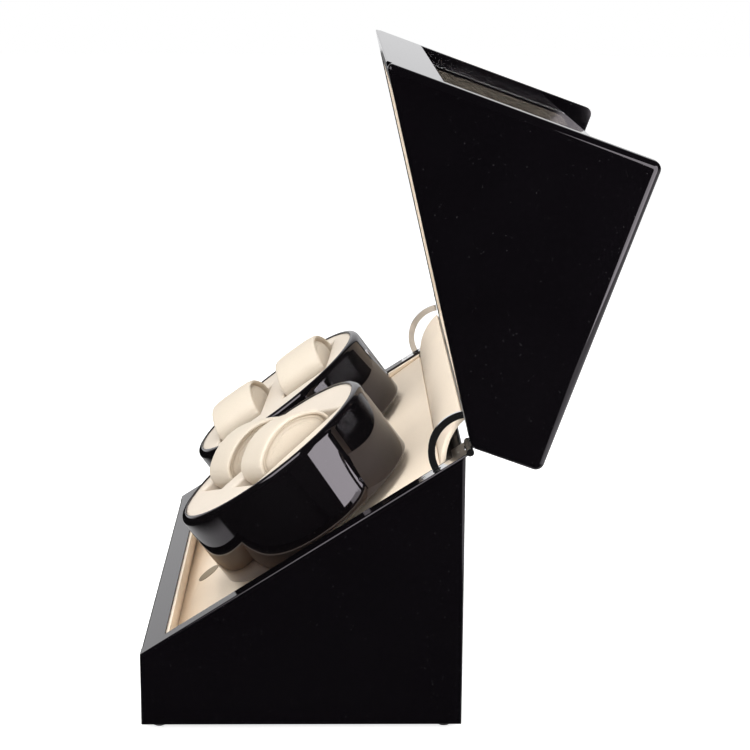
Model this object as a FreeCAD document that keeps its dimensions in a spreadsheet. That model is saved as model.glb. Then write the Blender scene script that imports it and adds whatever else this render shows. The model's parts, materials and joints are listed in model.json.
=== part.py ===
import FreeCAD, Part
import os
import re
import Sketcher
from FreeCAD import Vector

# Watch winder box for four watches: a wedge-shaped base and lid that make one rectangular case
# when shut, two motor-driven rotors on a sloping deck, and four watch cushions.
# Millimetres and degrees. +X is the right side, -Y the front, +Z up. The origin is the middle of
# the base's footprint, on the surface that the feet stand on. The lid is drawn open.

SIZES = {
    # the closed case, without its feet, and the boards that it is made of
    "box_width": 355,
    "box_depth": 205,
    "lid_height": 47,
    "front_height": 47.5,
    "rear_height": 179.5,
    "side_board": 13,
    "front_board": 15,
    "back_board": 12,
    "bottom_board": 9,
    "edge_round": 2.5,
    "corner_round": 5.5,
    "lid_round": 5,
    "tip_round": 0.8,
    "rim_gap": 0.5,
    # rubber feet
    "foot_height": 4,
    "foot_radius": 6,
    "foot_inset": 11,
    # leatherette-covered linings
    "lining": 2.5,
    "lining_drop": 1.7,
    "lid_lining_drop": 0.8,
    # sloping deck, the round plug set in it, and the battens under it
    "deck_tip": 4.22,
    "deck_drop": 4,
    "deck_board": 5,
    "plug_side": 18,
    "plug_inset": 23.5,
    "plug_radius": 8.5,
    "plug_thick": 1.5,
    "plug_proud": 0.3,
    "plug_fit": 0.05,
    "batten_width": 12,
    "batten_depth": 10,
    "batten_inset": 20,
    # rotor cups
    "rotor_gap": 17,
    "cup_clear": 4.5,
    "rotor_setback": 93.5,
    "cup_gap": 6.5,
    "cup_height": 54,
    "cup_wall": 5.2,
    "cup_floor": 4,
    "boss_radius": 13,
    "boss_gap": 1,
    # padded inserts in the cups
    "insert_sink": 1,
    "insert_fit": 0.1,
    "well_length": 39,
    "well_width": 78,
    # watch cushions, each a padded oval band with a panel sunk into both ends
    "cushion_width": 62,
    "cushion_length": 36,
    "cushion_rise": 18,
    "cushion_sink": 20,
    "cushion_wall": 4,
    "cushion_end": 13,
    "cushion_recess": 3,
    "cushion_draw": 1.2,
    "cushion_shoulder": 2,
    "cushion_seat": 0.3,
    "cushion_pitch": 60,
    "left_turn": 84,
    "right_turn": 30,
    # rotor drive
    "shaft_radius": 3,
    "shaft_fit": 0.05,
    "shaft_reach": 12,
    "deck_hole": 5,
    "gear_width": 52,
    "gear_depth": 38,
    "gear_height": 20,
    "motor_radius": 12,
    "motor_length": 26,
    "motor_offset": 12,
    # control panel on the back
    "panel_width": 92,
    "panel_height": 41,
    "panel_thick": 1.8,
    "panel_centre": 54.5,
    "panel_corner": 4,
    "panel_margin": 6,
    "lever_length": 5,
    "lever_height": 3.4,
    "lever_rise": 1.4,
    "lever_travel": 3,
    "lever_fit": 0.4,
    "switch_inset": 12,
    "switch_height": 10,
    "switch_depth": 7,
    "switch_margin": 3,
    "jack_bore": 3.2,
    "jack_pin": 1,
    "jack_collar": 5,
    "jack_depth": 9,
    "jack_lip": 0.8,
    "jack_pin_sink": 0.5,
    "card_thick": 1.6,
    "card_gap": 8,
    "card_margin": 7,
    # hinges
    "hinge_back": 2.7,
    "hinge_rise": 0.8,
    "lid_open": 109.8,
    "leaf_thick": 1.6,
    "leaf_width": 10,
    "leaf_length": 34,
    "leaf_fit": 0.1,
    "leaf_gap": 0.6,
    "tongue_lap": 0.5,
    "wing_length": 28,
    "wing_depth": 9,
    "knuckle_count": 3,
    "knuckle_radius": 2.4,
    "knuckle_gap": 0.2,
    "pin_radius": 1.2,
    "pin_fit": 0.05,
    "stay_radius": 24,
    "stay_width": 4.5,
    "stay_thick": 2.4,
    "stay_root": 15,
    "stay_tip": 2,
    "stay_spare": 0.6,
    "stay_fit": 0.4,
    # leatherette flap that covers the gap at the hinges
    "flap_thick": 1.6,
    "flap_seat": 0.9,
    "flap_clear": 0.5,
    "flap_reach": 19.8,
    "flap_bulge": 2.5,
    "flap_side_gap": 1,
    # lid rail and bent clear window
    "lid_rail": 39,
    "lid_rail_thick": 15,
    "lid_back_board": 15,
    "window_thick": 3,
    "window_inset": 10,
    "window_bend": 12,
    "window_groove": 4,
    "window_fit": 0.15,
    # how far a cutting tool runs past the face that it cuts
    "spare": 1,
}

# sums of those sizes that several pieces share
DERIVED = {
    "half_width": "box_width / 2",
    "half_depth": "box_depth / 2",
    "inner_half": "half_width - side_board",
    "rim_rise": "(rear_height - front_height) / box_depth",
    "slope": "atan(rim_rise)",
    "rim_rear": "foot_height + rear_height",
    "board_middle": "half_width - side_board / 2",
    # hinge axis
    "pivot_y": "half_depth + hinge_back",
    "pivot_z": "rim_rear + hinge_rise",
    "rim_above": "hinge_back * sin(slope) - hinge_rise * cos(slope)",
    # deck, by the upper edge of its rear end; it is tipped a little more than the rim
    "deck_angle": "slope + deck_tip * 1 deg",
    "deck_y": "half_depth - back_board - deck_board * sin(deck_angle)",
    "deck_z": "rim_rear - (half_depth - deck_y) * rim_rise - deck_drop",
    "deck_length": "(deck_y + half_depth - front_board) / cos(deck_angle)",
    "rotor_y": "deck_y - rotor_setback * cos(deck_angle)",
    "rotor_z": "deck_z - rotor_setback * sin(deck_angle)",
    # rotors, as large as the lining lets two of them be, and their heights above the deck
    "cup_radius": "(inner_half - lining - cup_clear) / 2 - rotor_gap / 4",
    "rotor_side": "cup_radius + rotor_gap / 2",
    "cup_top": "cup_gap + cup_height",
    "insert_top": "cup_top - insert_sink",
    "insert_low": "cup_gap + cup_floor",
    # cushions: half sizes, and radius of the flat arcs
    "cushion_half": "cushion_width / 2",
    "cushion_tall": "(cushion_rise + cushion_sink) / 2",
    "cushion_square": "cushion_half ^ 2 + cushion_tall ^ 2 - 2 * cushion_half * cushion_end",
    "cushion_flat": "cushion_square / (2 * (cushion_tall - cushion_end))",
    "well_low": "insert_top - cushion_sink - cushion_seat",
    "bore_radius": "cup_radius - cup_wall",
    "shaft_low": "0 - deck_board - shaft_reach",
    "gear_low": "0 - deck_board - gear_height",
    # lid, measured from the hinge axis with the lid shut
    "lid_top": "lid_height - hinge_rise",
    "lid_front": "0 - box_depth - hinge_back",
    "lid_rear": "0 - hinge_back",
    "lid_rim": "rim_gap / cos(slope) - hinge_rise",
    "window_front": "lid_front + window_inset",
    "window_top": "lid_top - window_inset",
    "rail_top": "lid_rim - box_depth * rim_rise + lid_rail",
    # flap, from its lower edge to its upper edge beside the open lid's rim
    "flap_y": "half_depth - back_board - flap_seat - flap_thick / 2",
    "flap_z": "deck_z + flap_thick / 2",
    "lid_lean": "slope + 180 deg - lid_open * 1 deg",
    "flap_off": "flap_thick / 2 + flap_clear - rim_above - rim_gap",
    "flap_end_y": "pivot_y + flap_reach * cos(lid_lean) - flap_off * sin(lid_lean)",
    "flap_end_z": "pivot_z + flap_reach * sin(lid_lean) + flap_off * cos(lid_lean)",
    "flap_chord": "hypot(flap_end_y - flap_y; flap_end_z - flap_z)",
    "flap_lean": "atan2(flap_end_z - flap_z; flap_end_y - flap_y)",
    "flap_radius": "(flap_chord ^ 2 / 4 + flap_bulge ^ 2) / (2 * flap_bulge)",
    "flap_half": "asin(flap_chord / 2 / flap_radius)",
    # control panel
    "panel_inner": "panel_width / 2 - panel_margin",
    "switch_offset": "panel_inner - switch_inset",
    "card_y": "half_depth - card_gap",
    # hinge leaves
    "wing_outer": "board_middle + leaf_width / 2",
    "knuckle_pitch": "wing_length / knuckle_count",
    "leaf_start": "knuckle_radius + leaf_gap",
}

doc = FreeCAD.newDocument("watch_winder_box")
sheet = doc.addObject("Spreadsheet::Sheet", "Sizes")
for row, (alias, size) in enumerate(SIZES.items(), 1):
    sheet.set(f"A{row}", alias)
    sheet.set(f"B{row}", str(size))
    sheet.setAlias(f"B{row}", alias)
doc.recompute()

NODES = {}
LIP_STEPS = 3


# Binding sizes to the sheet

def expand(text):
    """Write a sum of named sizes as an expression on the sheet's cells."""
    def spell(match):
        word = match.group(0)
        if word in DERIVED:
            return "(" + expand(DERIVED[word]) + ")"
        return "Sizes." + word if word in SIZES else word
    return re.sub(r"[a-z_]+", spell, str(text))


def value(text):
    """The number that a sum of named sizes comes to."""
    found = sheet.evalExpression(expand(text))
    return float(getattr(found, "Value", found))


def bind(thing, field, text):
    """Tie a property to a sum of named sizes."""
    thing.setExpression(field, expand(text))


def turn(axis, angle):
    """A rotation about an axis, as an expression."""
    return f"create(<<rotation>>; create(<<vector>>; {axis}); {angle})"


def frame(x=0, y=0, z=0, *turns):
    """A place and its turns, as an expression."""
    turning = " * ".join(turns) or turn("1; 0; 0", 0)
    return f"create(<<placement>>; create(<<vector>>; {x}; {y}; {z}); {turning})"


def tilt(angle):
    """A turn about X."""
    return turn("1; 0; 0", angle)


def place(thing, *frames):
    """Tie a placement to frames, each measured in the one before."""
    bind(thing, "Placement", " * ".join(frames))


def node(label, thing):
    """Keep an object as a sub-part under its own label."""
    thing.Label = label
    NODES[label] = thing
    return thing


# Frames that pieces are drawn in

WORLD = frame()
LID = frame(0, "pivot_y", "pivot_z", tilt("0 - lid_open"))
BASE_HINGE = frame(0, "pivot_y", "pivot_z", tilt("slope"))
LID_HINGE = frame(0, "pivot_y", "pivot_z", tilt("slope - lid_open * 1 deg"))
DECK = frame(0, "deck_y", "deck_z", tilt("deck_angle"))
SIDES = {"left": -1, "right": 1}


def rotor_frame(side):
    """Deck surface on the axis of one rotor, with Z along the axis."""
    return frame(f"{SIDES[side]} * rotor_side", "rotor_y", "rotor_z", tilt("deck_angle"))


# Features

def new_body(name):
    """An empty body."""
    return doc.addObject("PartDesign::Body", name)


def outline(body, plane, points):
    """A closed sketch of straight lines, each corner tied to named sizes."""
    sketch = body.newObject("Sketcher::SketchObject", body.Name + "_outline")
    support = next(f for f in body.Origin.OriginFeatures if f.Role == plane)
    sketch.AttachmentSupport = [(support, "")]
    sketch.MapMode = "FlatFace"
    corners = [Vector(value(x), value(y), 0) for x, y in points]
    count = len(corners)
    for i in range(count):
        sketch.addGeometry(Part.LineSegment(corners[i], corners[(i + 1) % count]))
    for i in range(count):
        sketch.addConstraint(Sketcher.Constraint("Coincident", i, 2, (i + 1) % count, 1))
    for i, (x, y) in enumerate(points):
        for kind, text, start in (("DistanceX", x, corners[i].x), ("DistanceY", y, corners[i].y)):
            rule = sketch.addConstraint(Sketcher.Constraint(kind, -1, 1, i, 1, start))
            sketch.setExpression(f"Constraints[{rule}]", expand(text))
    return sketch


def pad(body, plane, points, length):
    """A prism, half on each side of its sketch."""
    feature = body.newObject("PartDesign::Pad", body.Name + "_pad")
    feature.Profile = outline(body, plane, points)
    feature.Midplane = True
    bind(feature, "Length", length)
    return body


def revolve(body, points):
    """A turned piece about local Z, from a profile of radius and height."""
    sketch = outline(body, "XZ_Plane", points)
    feature = body.newObject("PartDesign::Revolution", body.Name + "_turned")
    feature.Profile = sketch
    feature.ReferenceAxis = (sketch, ["V_Axis"])
    feature.Angle = 360
    return body


def round_edges(body, radius, chosen):
    """Round the edges that a test picks out."""
    doc.recompute()
    tip = body.Tip
    names = [f"Edge{i}" for i, edge in enumerate(tip.Shape.Edges, 1) if chosen(edge)]
    feature = body.newObject("PartDesign::Fillet", body.Name + "_round")
    feature.Base = (tip, names)
    bind(feature, "Radius", radius)
    return body


def near(a, b):
    """Whether two lengths are the same."""
    return abs(a - b) < 1e-4


def on_x(edge, x):
    """Whether an edge lies in the plane of one x."""
    return near(edge.BoundBox.XMin, x) and near(edge.BoundBox.XMax, x)


def slants(edge):
    """Whether an edge is straight and slopes in the YZ plane."""
    return isinstance(edge.Curve, Part.Line) and edge.BoundBox.YLength > 1e-4 and edge.BoundBox.ZLength > 1e-4


def through(edge, y, z):
    """Whether an edge runs along X through one y and z."""
    box = edge.BoundBox
    return near(box.YMin, y) and near(box.YMax, y) and near(box.ZMin, z) and near(box.ZMax, z)


def box(name, frames, low, size):
    """A block from its low corner and its sides."""
    solid = doc.addObject("Part::Box", name)
    for side, text in zip(("Length", "Width", "Height"), size):
        bind(solid, side, text)
    place(solid, *frames, frame(*low))
    return solid


def cylinder(name, frames, radius, height):
    """A round bar along local Z."""
    solid = doc.addObject("Part::Cylinder", name)
    bind(solid, "Radius", radius)
    bind(solid, "Height", height)
    place(solid, *frames)
    return solid


def cut(name, base, *tools):
    """One piece with others taken out of it."""
    for i, tool in enumerate(tools):
        result = doc.addObject("Part::Cut", f"{name}_cut{i}")
        result.Base = base
        result.Tool = tool
        base = result
    return base


def fuse(name, *solids):
    """Several solids made one."""
    result = doc.addObject("Part::MultiFuse", name)
    result.Shapes = list(solids)
    return result


def group(name, solids):
    """Separate solids that share one node."""
    result = doc.addObject("Part::Compound", name)
    result.Links = list(solids)
    return result


# A frame whose Z runs along X and whose X runs along Y, for bars that lie across the box
ACROSS = frame(0, 0, 0, turn("1; 1; 1", 120))


def sector(name, frames, radius, wide, thick, start, sweep):
    """A bent strip: part of a ring about X, centred on x = 0 of its frame."""
    angle = frame(0, 0, 0, turn("0; 0; 1", start))
    low = frame(f"0 - ({thick}) / 2", 0, 0)
    rings = []
    for part, edge in (("outer", f"({radius}) + ({wide}) / 2"), ("inner", f"({radius}) - ({wide}) / 2")):
        ring = cylinder(f"{name}_{part}", [*frames, low, ACROSS, angle], edge, thick)
        bind(ring, "Angle", sweep)
        rings.append(ring)
    return cut(name, *rings)


# Hinges

def hinge_x(side, x):
    """A place along X, counted outwards from the middle of the box."""
    return frame(f"{SIDES[side]} * ({x})", 0, 0)


def across(side, inner, outer):
    """The low end and the length along X of what lies between two distances from the middle."""
    low = inner if side == "right" else f"0 - ({outer})"
    return low, f"({outer}) - ({inner})"


def leaf_plates(name, side, hinge, low, thick, fit=0, rear=0):
    """The two arms of an L-shaped leaf, one on the side board and one on the back board, or their recess."""
    blocks = []
    for arm, inner, depth in (
        ("arm", "wing_outer - leaf_width", "leaf_length"),
        ("wing", "wing_outer - wing_length", "wing_depth"),
    ):
        start, span = across(side, f"{inner} - {fit}", f"wing_outer + {fit}")
        corner = (start, f"0 - leaf_start - {depth} - {fit}", low)
        blocks.append(box(f"{name}_{arm}", [hinge], corner, (span, f"{depth} + {fit} + {rear}", thick)))
    return fuse(name, *blocks)


def knuckles(name, side, hinge, low, first):
    """Every second knuckle of a barrel, each with the tongue that joins it to its leaf."""
    solids = []
    for i in range(first, int(value("knuckle_count")), 2):
        inner = f"wing_outer - wing_length + {i} * knuckle_pitch + knuckle_gap / 2"
        outer = f"wing_outer - wing_length + {i + 1} * knuckle_pitch - knuckle_gap / 2"
        start, span = across(side, inner, outer)
        solids.append(cylinder(f"{name}_{i}", [hinge, frame(start), ACROSS], "knuckle_radius", span))
        tongue = (start, "0 - leaf_start - tongue_lap", low)
        size = (span, "leaf_start + tongue_lap", "leaf_thick")
        solids.append(box(f"{name}_tongue{i}", [hinge], tongue, size))
    return solids


def stay(name, side, hinge, start, sweep, fit):
    """The curved stay about the hinge axis, or the slot that it slides in."""
    frames = [hinge, hinge_x(side, "board_middle")]
    wide = f"stay_width + 2 * {fit}"
    thick = f"stay_thick + 2 * {fit}"
    return sector(name, frames, "stay_radius", wide, thick, start, sweep)


def leaf_slot(name, side, hinge):
    """The straight slot in a leaf that the stay passes through."""
    half = "stay_thick / 2 + stay_fit"
    start, span = across(side, f"board_middle - ({half})", f"board_middle + {half}")
    corner = (start, "0 - stay_radius - stay_width / 2 - stay_fit", "0 - stay_width")
    return box(name, [hinge], corner, (span, "stay_width + 3 * stay_fit", "2 * stay_width"))


def make_hinge(side):
    """One quadrant hinge: two leaves, a pin and a curved stay. Returns the tools for its recesses."""
    start, span = across(side, "wing_outer - wing_length", "wing_outer")
    reach = [BASE_HINGE, frame(start), ACROSS]
    pin = cylinder(f"hinge_pin_{side}", reach, "pin_radius", span)
    node(f"hinge_pin_{side}", pin)
    tip = "180 - lid_open - stay_tip"
    sweep = "lid_open + stay_tip + stay_root"
    node(f"hinge_stay_{side}", stay(f"stay_{side}", side, BASE_HINGE, tip, sweep, 0))
    recesses = {}
    for where, hinge, low, first in (
        ("base", BASE_HINGE, "rim_above - leaf_thick", 0),
        ("lid", LID_HINGE, "rim_above + rim_gap", 1),
    ):
        name = f"hinge_{where}_leaf_{side}"
        plates = leaf_plates(f"{name}_plates", side, hinge, low, "leaf_thick")
        solid = fuse(f"{name}_solid", plates, *knuckles(f"{name}_knuckle", side, hinge, low, first))
        hole = cylinder(f"{name}_hole", [hinge, frame(start), ACROSS], "pin_radius + pin_fit", span)
        node(name, cut(name, solid, hole, leaf_slot(f"{name}_slot", side, hinge)))
        recess_low = low if where == "base" else f"{low} - spare"
        name = f"{name}_recess"
        deep = "leaf_thick + spare"
        recesses[where] = leaf_plates(name, side, hinge, recess_low, deep, "leaf_fit", "leaf_start")
    recesses["base_slot"] = stay(f"base_slot_{side}", side, BASE_HINGE, 90, "90 + stay_root", 0)
    tip = f"{tip} - stay_spare"
    sweep = f"{sweep} + stay_spare"
    recesses["lid_slot"] = stay(f"lid_slot_{side}", side, LID_HINGE, tip, sweep, "stay_fit")
    return recesses


RECESSES = {side: make_hinge(side) for side in SIDES}


# Base boards

def rim_at(y):
    """Height of the base's rim at one y."""
    return f"rim_rear - (half_depth - ({y})) * rim_rise"


def make_base_side(side):
    """Wedge-shaped side board, rounded along its outer edges."""
    body = pad(new_body(f"base_side_{side}"), "YZ_Plane", [
        ("0 - half_depth", "foot_height"),
        ("half_depth", "foot_height"),
        ("half_depth", "rim_rear"),
        ("0 - half_depth", "foot_height + front_height"),
    ], "side_board")
    face = SIDES[side] * value("side_board") / 2
    round_edges(body, "edge_round", lambda edge: on_x(edge, face))
    place(body, frame(f"{SIDES[side]} * board_middle"))
    tools = RECESSES[side]
    node(f"base_{side}_board", cut(f"base_{side}_board", body, tools["base"], tools["base_slot"]))


def make_base_front():
    """Low front board with its top cut to the slope of the rim."""
    inner = "front_board - half_depth"
    body = pad(new_body("base_front"), "YZ_Plane", [
        ("0 - half_depth", "foot_height"),
        (inner, "foot_height"),
        (inner, rim_at(inner)),
        ("0 - half_depth", rim_at("0 - half_depth")),
    ], "2 * inner_half")
    face = -value("half_depth")
    round_edges(body, "edge_round", lambda edge: any(
        through(edge, face, value(z)) for z in ("foot_height", "foot_height + front_height")))
    node("base_front_board", body)


def make_base_back():
    """Tall back board with the window for the controls and the recesses for the hinge leaves."""
    inner = "half_depth - back_board"
    body = pad(new_body("base_back"), "YZ_Plane", [
        ("half_depth", "foot_height"),
        ("half_depth", "rim_rear"),
        (inner, rim_at(inner)),
        (inner, "foot_height"),
    ], "2 * inner_half")
    face = value("half_depth")
    round_edges(body, "edge_round", lambda edge: any(
        through(edge, face, value(z)) for z in ("foot_height", "rim_rear")))
    height = "panel_height - 2 * panel_margin"
    corner = ("0 - panel_inner", "half_depth - back_board - spare", f"panel_centre - ({height}) / 2")
    opening = box("panel_opening", [WORLD], corner, ("2 * panel_inner", "back_board + 2 * spare", height))
    node("base_back_board", cut("base_back_board", body, opening, *(RECESSES[s]["base"] for s in SIDES)))


def make_base_bottom():
    """Bottom board let in between the four walls."""
    corner = ("0 - inner_half", "front_board - half_depth", "foot_height")
    size = ("2 * inner_half", "box_depth - front_board - back_board", "bottom_board")
    node("base_bottom_board", box("base_bottom_board", [WORLD], corner, size))


def make_feet():
    """Four round rubber feet under the corners."""
    feet = []
    for side, sign in SIDES.items():
        for end, way in (("front", -1), ("rear", 1)):
            spot = frame(f"{sign} * (half_width - foot_inset)", f"{way} * (half_depth - foot_inset)")
            feet.append(cylinder(f"foot_{side}_{end}", [spot], "foot_radius", "foot_height"))
    node("rubber_feet", group("rubber_feet", feet))


# Deck and linings

def make_deck():
    """Sloping deck with a hole for each rotor's shaft, and the round plug near its front."""
    corner = ("0 - inner_half", "0 - deck_length", "0 - deck_board")
    board = box("deck_blank", [DECK], corner, ("2 * inner_half", "deck_length", "deck_board"))
    low = frame(0, 0, "0 - deck_board - spare")
    deep = "deck_board + 2 * spare"
    holes = [cylinder(f"deck_hole_{side}", [rotor_frame(side), low], "deck_hole", deep) for side in SIDES]
    spot = frame("plug_side", "plug_inset - deck_length", "plug_proud - plug_thick")
    seat = cylinder("plug_seat", [DECK, spot], "plug_radius + plug_fit", "plug_thick + spare")
    node("deck_panel", cut("deck_panel", board, *holes, seat))
    node("deck_plug", cylinder("deck_plug", [DECK, spot], "plug_radius", "plug_thick"))


def make_batten(side):
    """Batten on a side board that carries the deck's edge."""
    start, span = across(side, "inner_half - batten_width", "inner_half")
    corner = (start, "batten_inset - deck_length", "0 - deck_board - batten_depth")
    size = (span, "deck_length - 2 * batten_inset", "batten_depth")
    batten = box(f"deck_batten_{side}", [DECK], corner, size)
    node(f"deck_batten_{side}", batten)


def deck_at(y):
    """Height of the deck's surface at one y."""
    return f"deck_z - (deck_y - ({y})) * tan(deck_angle)"


def make_base_side_lining(side):
    """Lining board on a side wall, from the deck to just under the rim."""
    front = "front_board - half_depth"
    rear = "deck_y"
    body = pad(new_body(f"base_lining_{side}"), "YZ_Plane", [
        (front, deck_at(front)),
        (rear, deck_at(rear)),
        (rear, f"{rim_at(rear)} - lining_drop"),
        (front, f"{rim_at(front)} - lining_drop"),
    ], "lining")
    place(body, frame(f"{SIDES[side]} * (inner_half - lining / 2)"))
    node(f"base_{side}_lining", body)


def make_base_front_lining():
    """Lining board on the front wall, between the side linings."""
    front = "front_board - half_depth"
    rear = "front_board - half_depth + lining"
    body = pad(new_body("base_lining_front"), "YZ_Plane", [
        (front, deck_at(front)),
        (rear, deck_at(rear)),
        (rear, f"{rim_at(rear)} - lining_drop"),
        (front, f"{rim_at(front)} - lining_drop"),
    ], "2 * (inner_half - lining)")
    node("base_front_lining", body)


def make_flap():
    """Thin curved flap, hinged along the deck's rear edge, that covers the gap behind the deck."""
    lower = frame(0, "flap_y", "flap_z", tilt("flap_lean"))
    centre = frame(0, "flap_chord / 2", "flap_bulge - flap_radius")
    width = "2 * (inner_half - lining - flap_side_gap)"
    start = "90 deg - flap_half"
    sweep = "2 * flap_half"
    node("hinge_flap", sector("flap", [lower, centre], "flap_radius", "flap_thick", width, start, sweep))


# Rotors

def lip_points():
    """Corners of the cup's lip, which is rounded over the whole wall and turned as narrow cones."""
    steps = range(LIP_STEPS + 1)
    angles = [f"{90 * i / LIP_STEPS} deg" for i in steps]
    return [(f"cup_radius - cup_wall * (1 - cos({a}))", f"cup_top - cup_wall * (1 - sin({a}))") for a in angles]


def make_cup(side):
    """Deep round cup with a rounded lip, and a boss underneath that plugs onto the drive shaft."""
    body = revolve(new_body(f"cup_{side}"), [
        (0, "cup_gap"),
        ("shaft_radius", "cup_gap"),
        ("shaft_radius", "boss_gap"),
        ("boss_radius", "boss_gap"),
        ("boss_radius", "cup_gap"),
        ("cup_radius", "cup_gap"),
        *lip_points(),
        ("bore_radius", "insert_low"),
        (0, "insert_low"),
    ])
    place(body, rotor_frame(side))
    node(f"rotor_cup_{side}", body)


def rotor_turn(side):
    """How far a rotor has stopped round from the box's own axes."""
    return frame(0, 0, 0, turn("0; 0; 1", f"{side}_turn"))


def make_insert(side):
    """Padded disc that fills the cup, with a well for each of two cushions."""
    body = revolve(new_body(f"insert_{side}"), [
        (0, "insert_low"),
        ("bore_radius - insert_fit", "insert_low"),
        ("bore_radius - insert_fit", "insert_top"),
        (0, "insert_top"),
    ])
    place(body, rotor_frame(side))
    wells = []
    for i in (-1, 1):
        corner = (f"{i} * cushion_pitch / 2 - well_length / 2", "0 - well_width / 2", "well_low")
        size = ("well_length", "well_width", "insert_top - well_low + spare")
        wells.append(box(f"well_{side}_{i + 1}", [rotor_frame(side), rotor_turn(side)], corner, size))
    node(f"rotor_insert_{side}", cut(f"rotor_insert_{side}", body, *wells))


def oval(x, inset):
    """A four-centred oval across X, as much smaller than a cushion's fullest section as the inset.

    The flat arcs have the radius that makes them run into the end arcs without a corner.
    """
    half = value("cushion_half") - inset
    tall = value("cushion_tall") - inset
    end = value("cushion_end") - inset
    flat = value("cushion_flat") - inset
    joint = Vector(0, half - end, flat - tall).normalize() * flat - Vector(0, 0, flat - tall)
    middle = Vector(x, 0, value("insert_top + (cushion_rise - cushion_sink) / 2"))

    def spot(y, z):
        return middle + Vector(0, y, z)

    def arc(*ends):
        return Part.Arc(*(spot(*point) for point in ends)).toShape()

    return Part.Wire([
        arc((joint.y, -joint.z), (half, 0), (joint.y, joint.z)),
        arc((joint.y, joint.z), (0, tall), (-joint.y, joint.z)),
        arc((-joint.y, joint.z), (-half, 0), (-joint.y, -joint.z)),
        arc((-joint.y, -joint.z), (0, -tall), (joint.y, -joint.z)),
    ])


def make_cushion(side, end, way):
    """Watch cushion: a padded oval band, its sides drawn in, with a panel sunk into both ends."""
    half = value("cushion_length") / 2
    middle = way * value("cushion_pitch") / 2
    spare = value("spare")
    draw = value("cushion_draw")
    full = half - value("cushion_shoulder")
    sections = [oval(middle + x, inset) for x, inset in ((-half, draw), (-full, 0), (full, 0), (half, draw))]
    shape = Part.makeLoft(sections, True, True)
    recess = value("cushion_recess")
    for sign in (-1, 1):
        panel = Part.Face(oval(middle + sign * (half - recess), value("cushion_wall")))
        shape = shape.cut(panel.extrude(Vector(sign * (recess + spare), 0, 0)))
    cushion = doc.addObject("Part::Feature", f"cushion_{side}_{end}")
    cushion.Shape = shape
    place(cushion, rotor_frame(side), rotor_turn(side))
    node(f"watch_cushion_{side}_{end}", cushion)


def make_drive(side):
    """Drive shaft of one rotor, and the gear case and motor under the deck that turn it."""
    axis = rotor_frame(side)
    shaft = cylinder(f"shaft_{side}", [axis, frame(0, 0, "shaft_low")], "shaft_radius", "cup_gap - shaft_low")
    node(f"drive_shaft_{side}", shaft)
    corner = ("0 - gear_width / 2", "0 - gear_depth / 2", "gear_low")
    case = box(f"gear_{side}", [axis], corner, ("gear_width", "gear_depth", "gear_height"))
    bore_low = frame(0, 0, "shaft_low - spare")
    bore = cylinder(f"bore_{side}", [axis, bore_low], "shaft_radius + shaft_fit", "shaft_reach + 2 * spare")
    node(f"gear_case_{side}", cut(f"gear_case_{side}", case, bore))
    can_low = frame("motor_offset", 0, "gear_low - motor_length")
    node(f"drive_motor_{side}", cylinder(f"motor_{side}", [axis, can_low], "motor_radius", "motor_length"))


# Controls on the back

def panel_spot(x, z=0):
    """A place on the outside of the back board, with Z pointing out of the box."""
    return frame(x, "half_depth", f"panel_centre + ({z})", tilt(-90))


def make_panel():
    """Thin cover plate with rounded corners, slots for the two levers and a hole for the inlet."""
    body = pad(new_body("panel"), "XZ_Plane", [
        ("0 - panel_width / 2", "0 - panel_height / 2"),
        ("panel_width / 2", "0 - panel_height / 2"),
        ("panel_width / 2", "panel_height / 2"),
        ("0 - panel_width / 2", "panel_height / 2"),
    ], "panel_thick")
    round_edges(body, "panel_corner", lambda edge: near(edge.Length, value("panel_thick")))
    place(body, frame(0, "half_depth + panel_thick / 2", "panel_centre"))
    tools = []
    deep = "panel_thick + 2 * spare"
    length = "lever_length + 2 * lever_travel + 2 * lever_fit"
    height = "lever_height + 2 * lever_fit"
    for side, sign in SIDES.items():
        start = f"{sign} * switch_offset - ({length}) / 2"
        corner = (start, "half_depth - spare", f"panel_centre - ({height}) / 2")
        tools.append(box(f"lever_slot_{side}", [WORLD], corner, (length, deep, height)))
    inside = frame(0, 0, "0 - spare")
    tools.append(cylinder("inlet_hole", [panel_spot(0), inside], "jack_collar", deep))
    node("control_panel", cut("control_panel", body, *tools))


def make_switch(side):
    """Slide switch: a housing on the card behind the panel and the lever that a finger moves."""
    sign = SIDES[side]
    length = "lever_length + 2 * lever_travel + 2 * switch_margin"
    corner = (f"{sign} * switch_offset - ({length}) / 2", "card_y", "panel_centre - switch_height / 2")
    housing = box(f"switch_{side}", [WORLD], corner, (length, "switch_depth", "switch_height"))
    node(f"mode_switch_{side}", housing)
    start = f"{sign} * switch_offset - lever_length / 2"
    corner = (start, "card_y + switch_depth", "panel_centre - lever_height / 2")
    reach = "card_gap - switch_depth + panel_thick + lever_rise"
    lever = box(f"lever_{side}", [WORLD], corner, ("lever_length", reach, "lever_height"))
    node(f"mode_lever_{side}", lever)


def make_inlet():
    """Round low-voltage inlet with its centre pin."""
    mouth = "panel_thick + jack_lip"
    body = revolve(new_body("inlet"), [
        (0, "0 - card_gap"),
        ("jack_collar", "0 - card_gap"),
        ("jack_collar", mouth),
        ("jack_bore", mouth),
        ("jack_bore", f"{mouth} - jack_depth"),
        ("jack_pin", f"{mouth} - jack_depth"),
        ("jack_pin", f"{mouth} - jack_pin_sink"),
        (0, f"{mouth} - jack_pin_sink"),
    ])
    place(body, panel_spot(0))
    node("power_inlet", body)


def make_card():
    """Circuit card that carries the switches and the inlet."""
    width = "panel_width - 2 * card_margin"
    height = "panel_height - 2 * card_margin"
    corner = (f"0 - ({width}) / 2", "card_y - card_thick", f"panel_centre - ({height}) / 2")
    size = (width, "card_thick", height)
    node("circuit_card", box("circuit_card", [WORLD], corner, size))


# Lid

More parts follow.
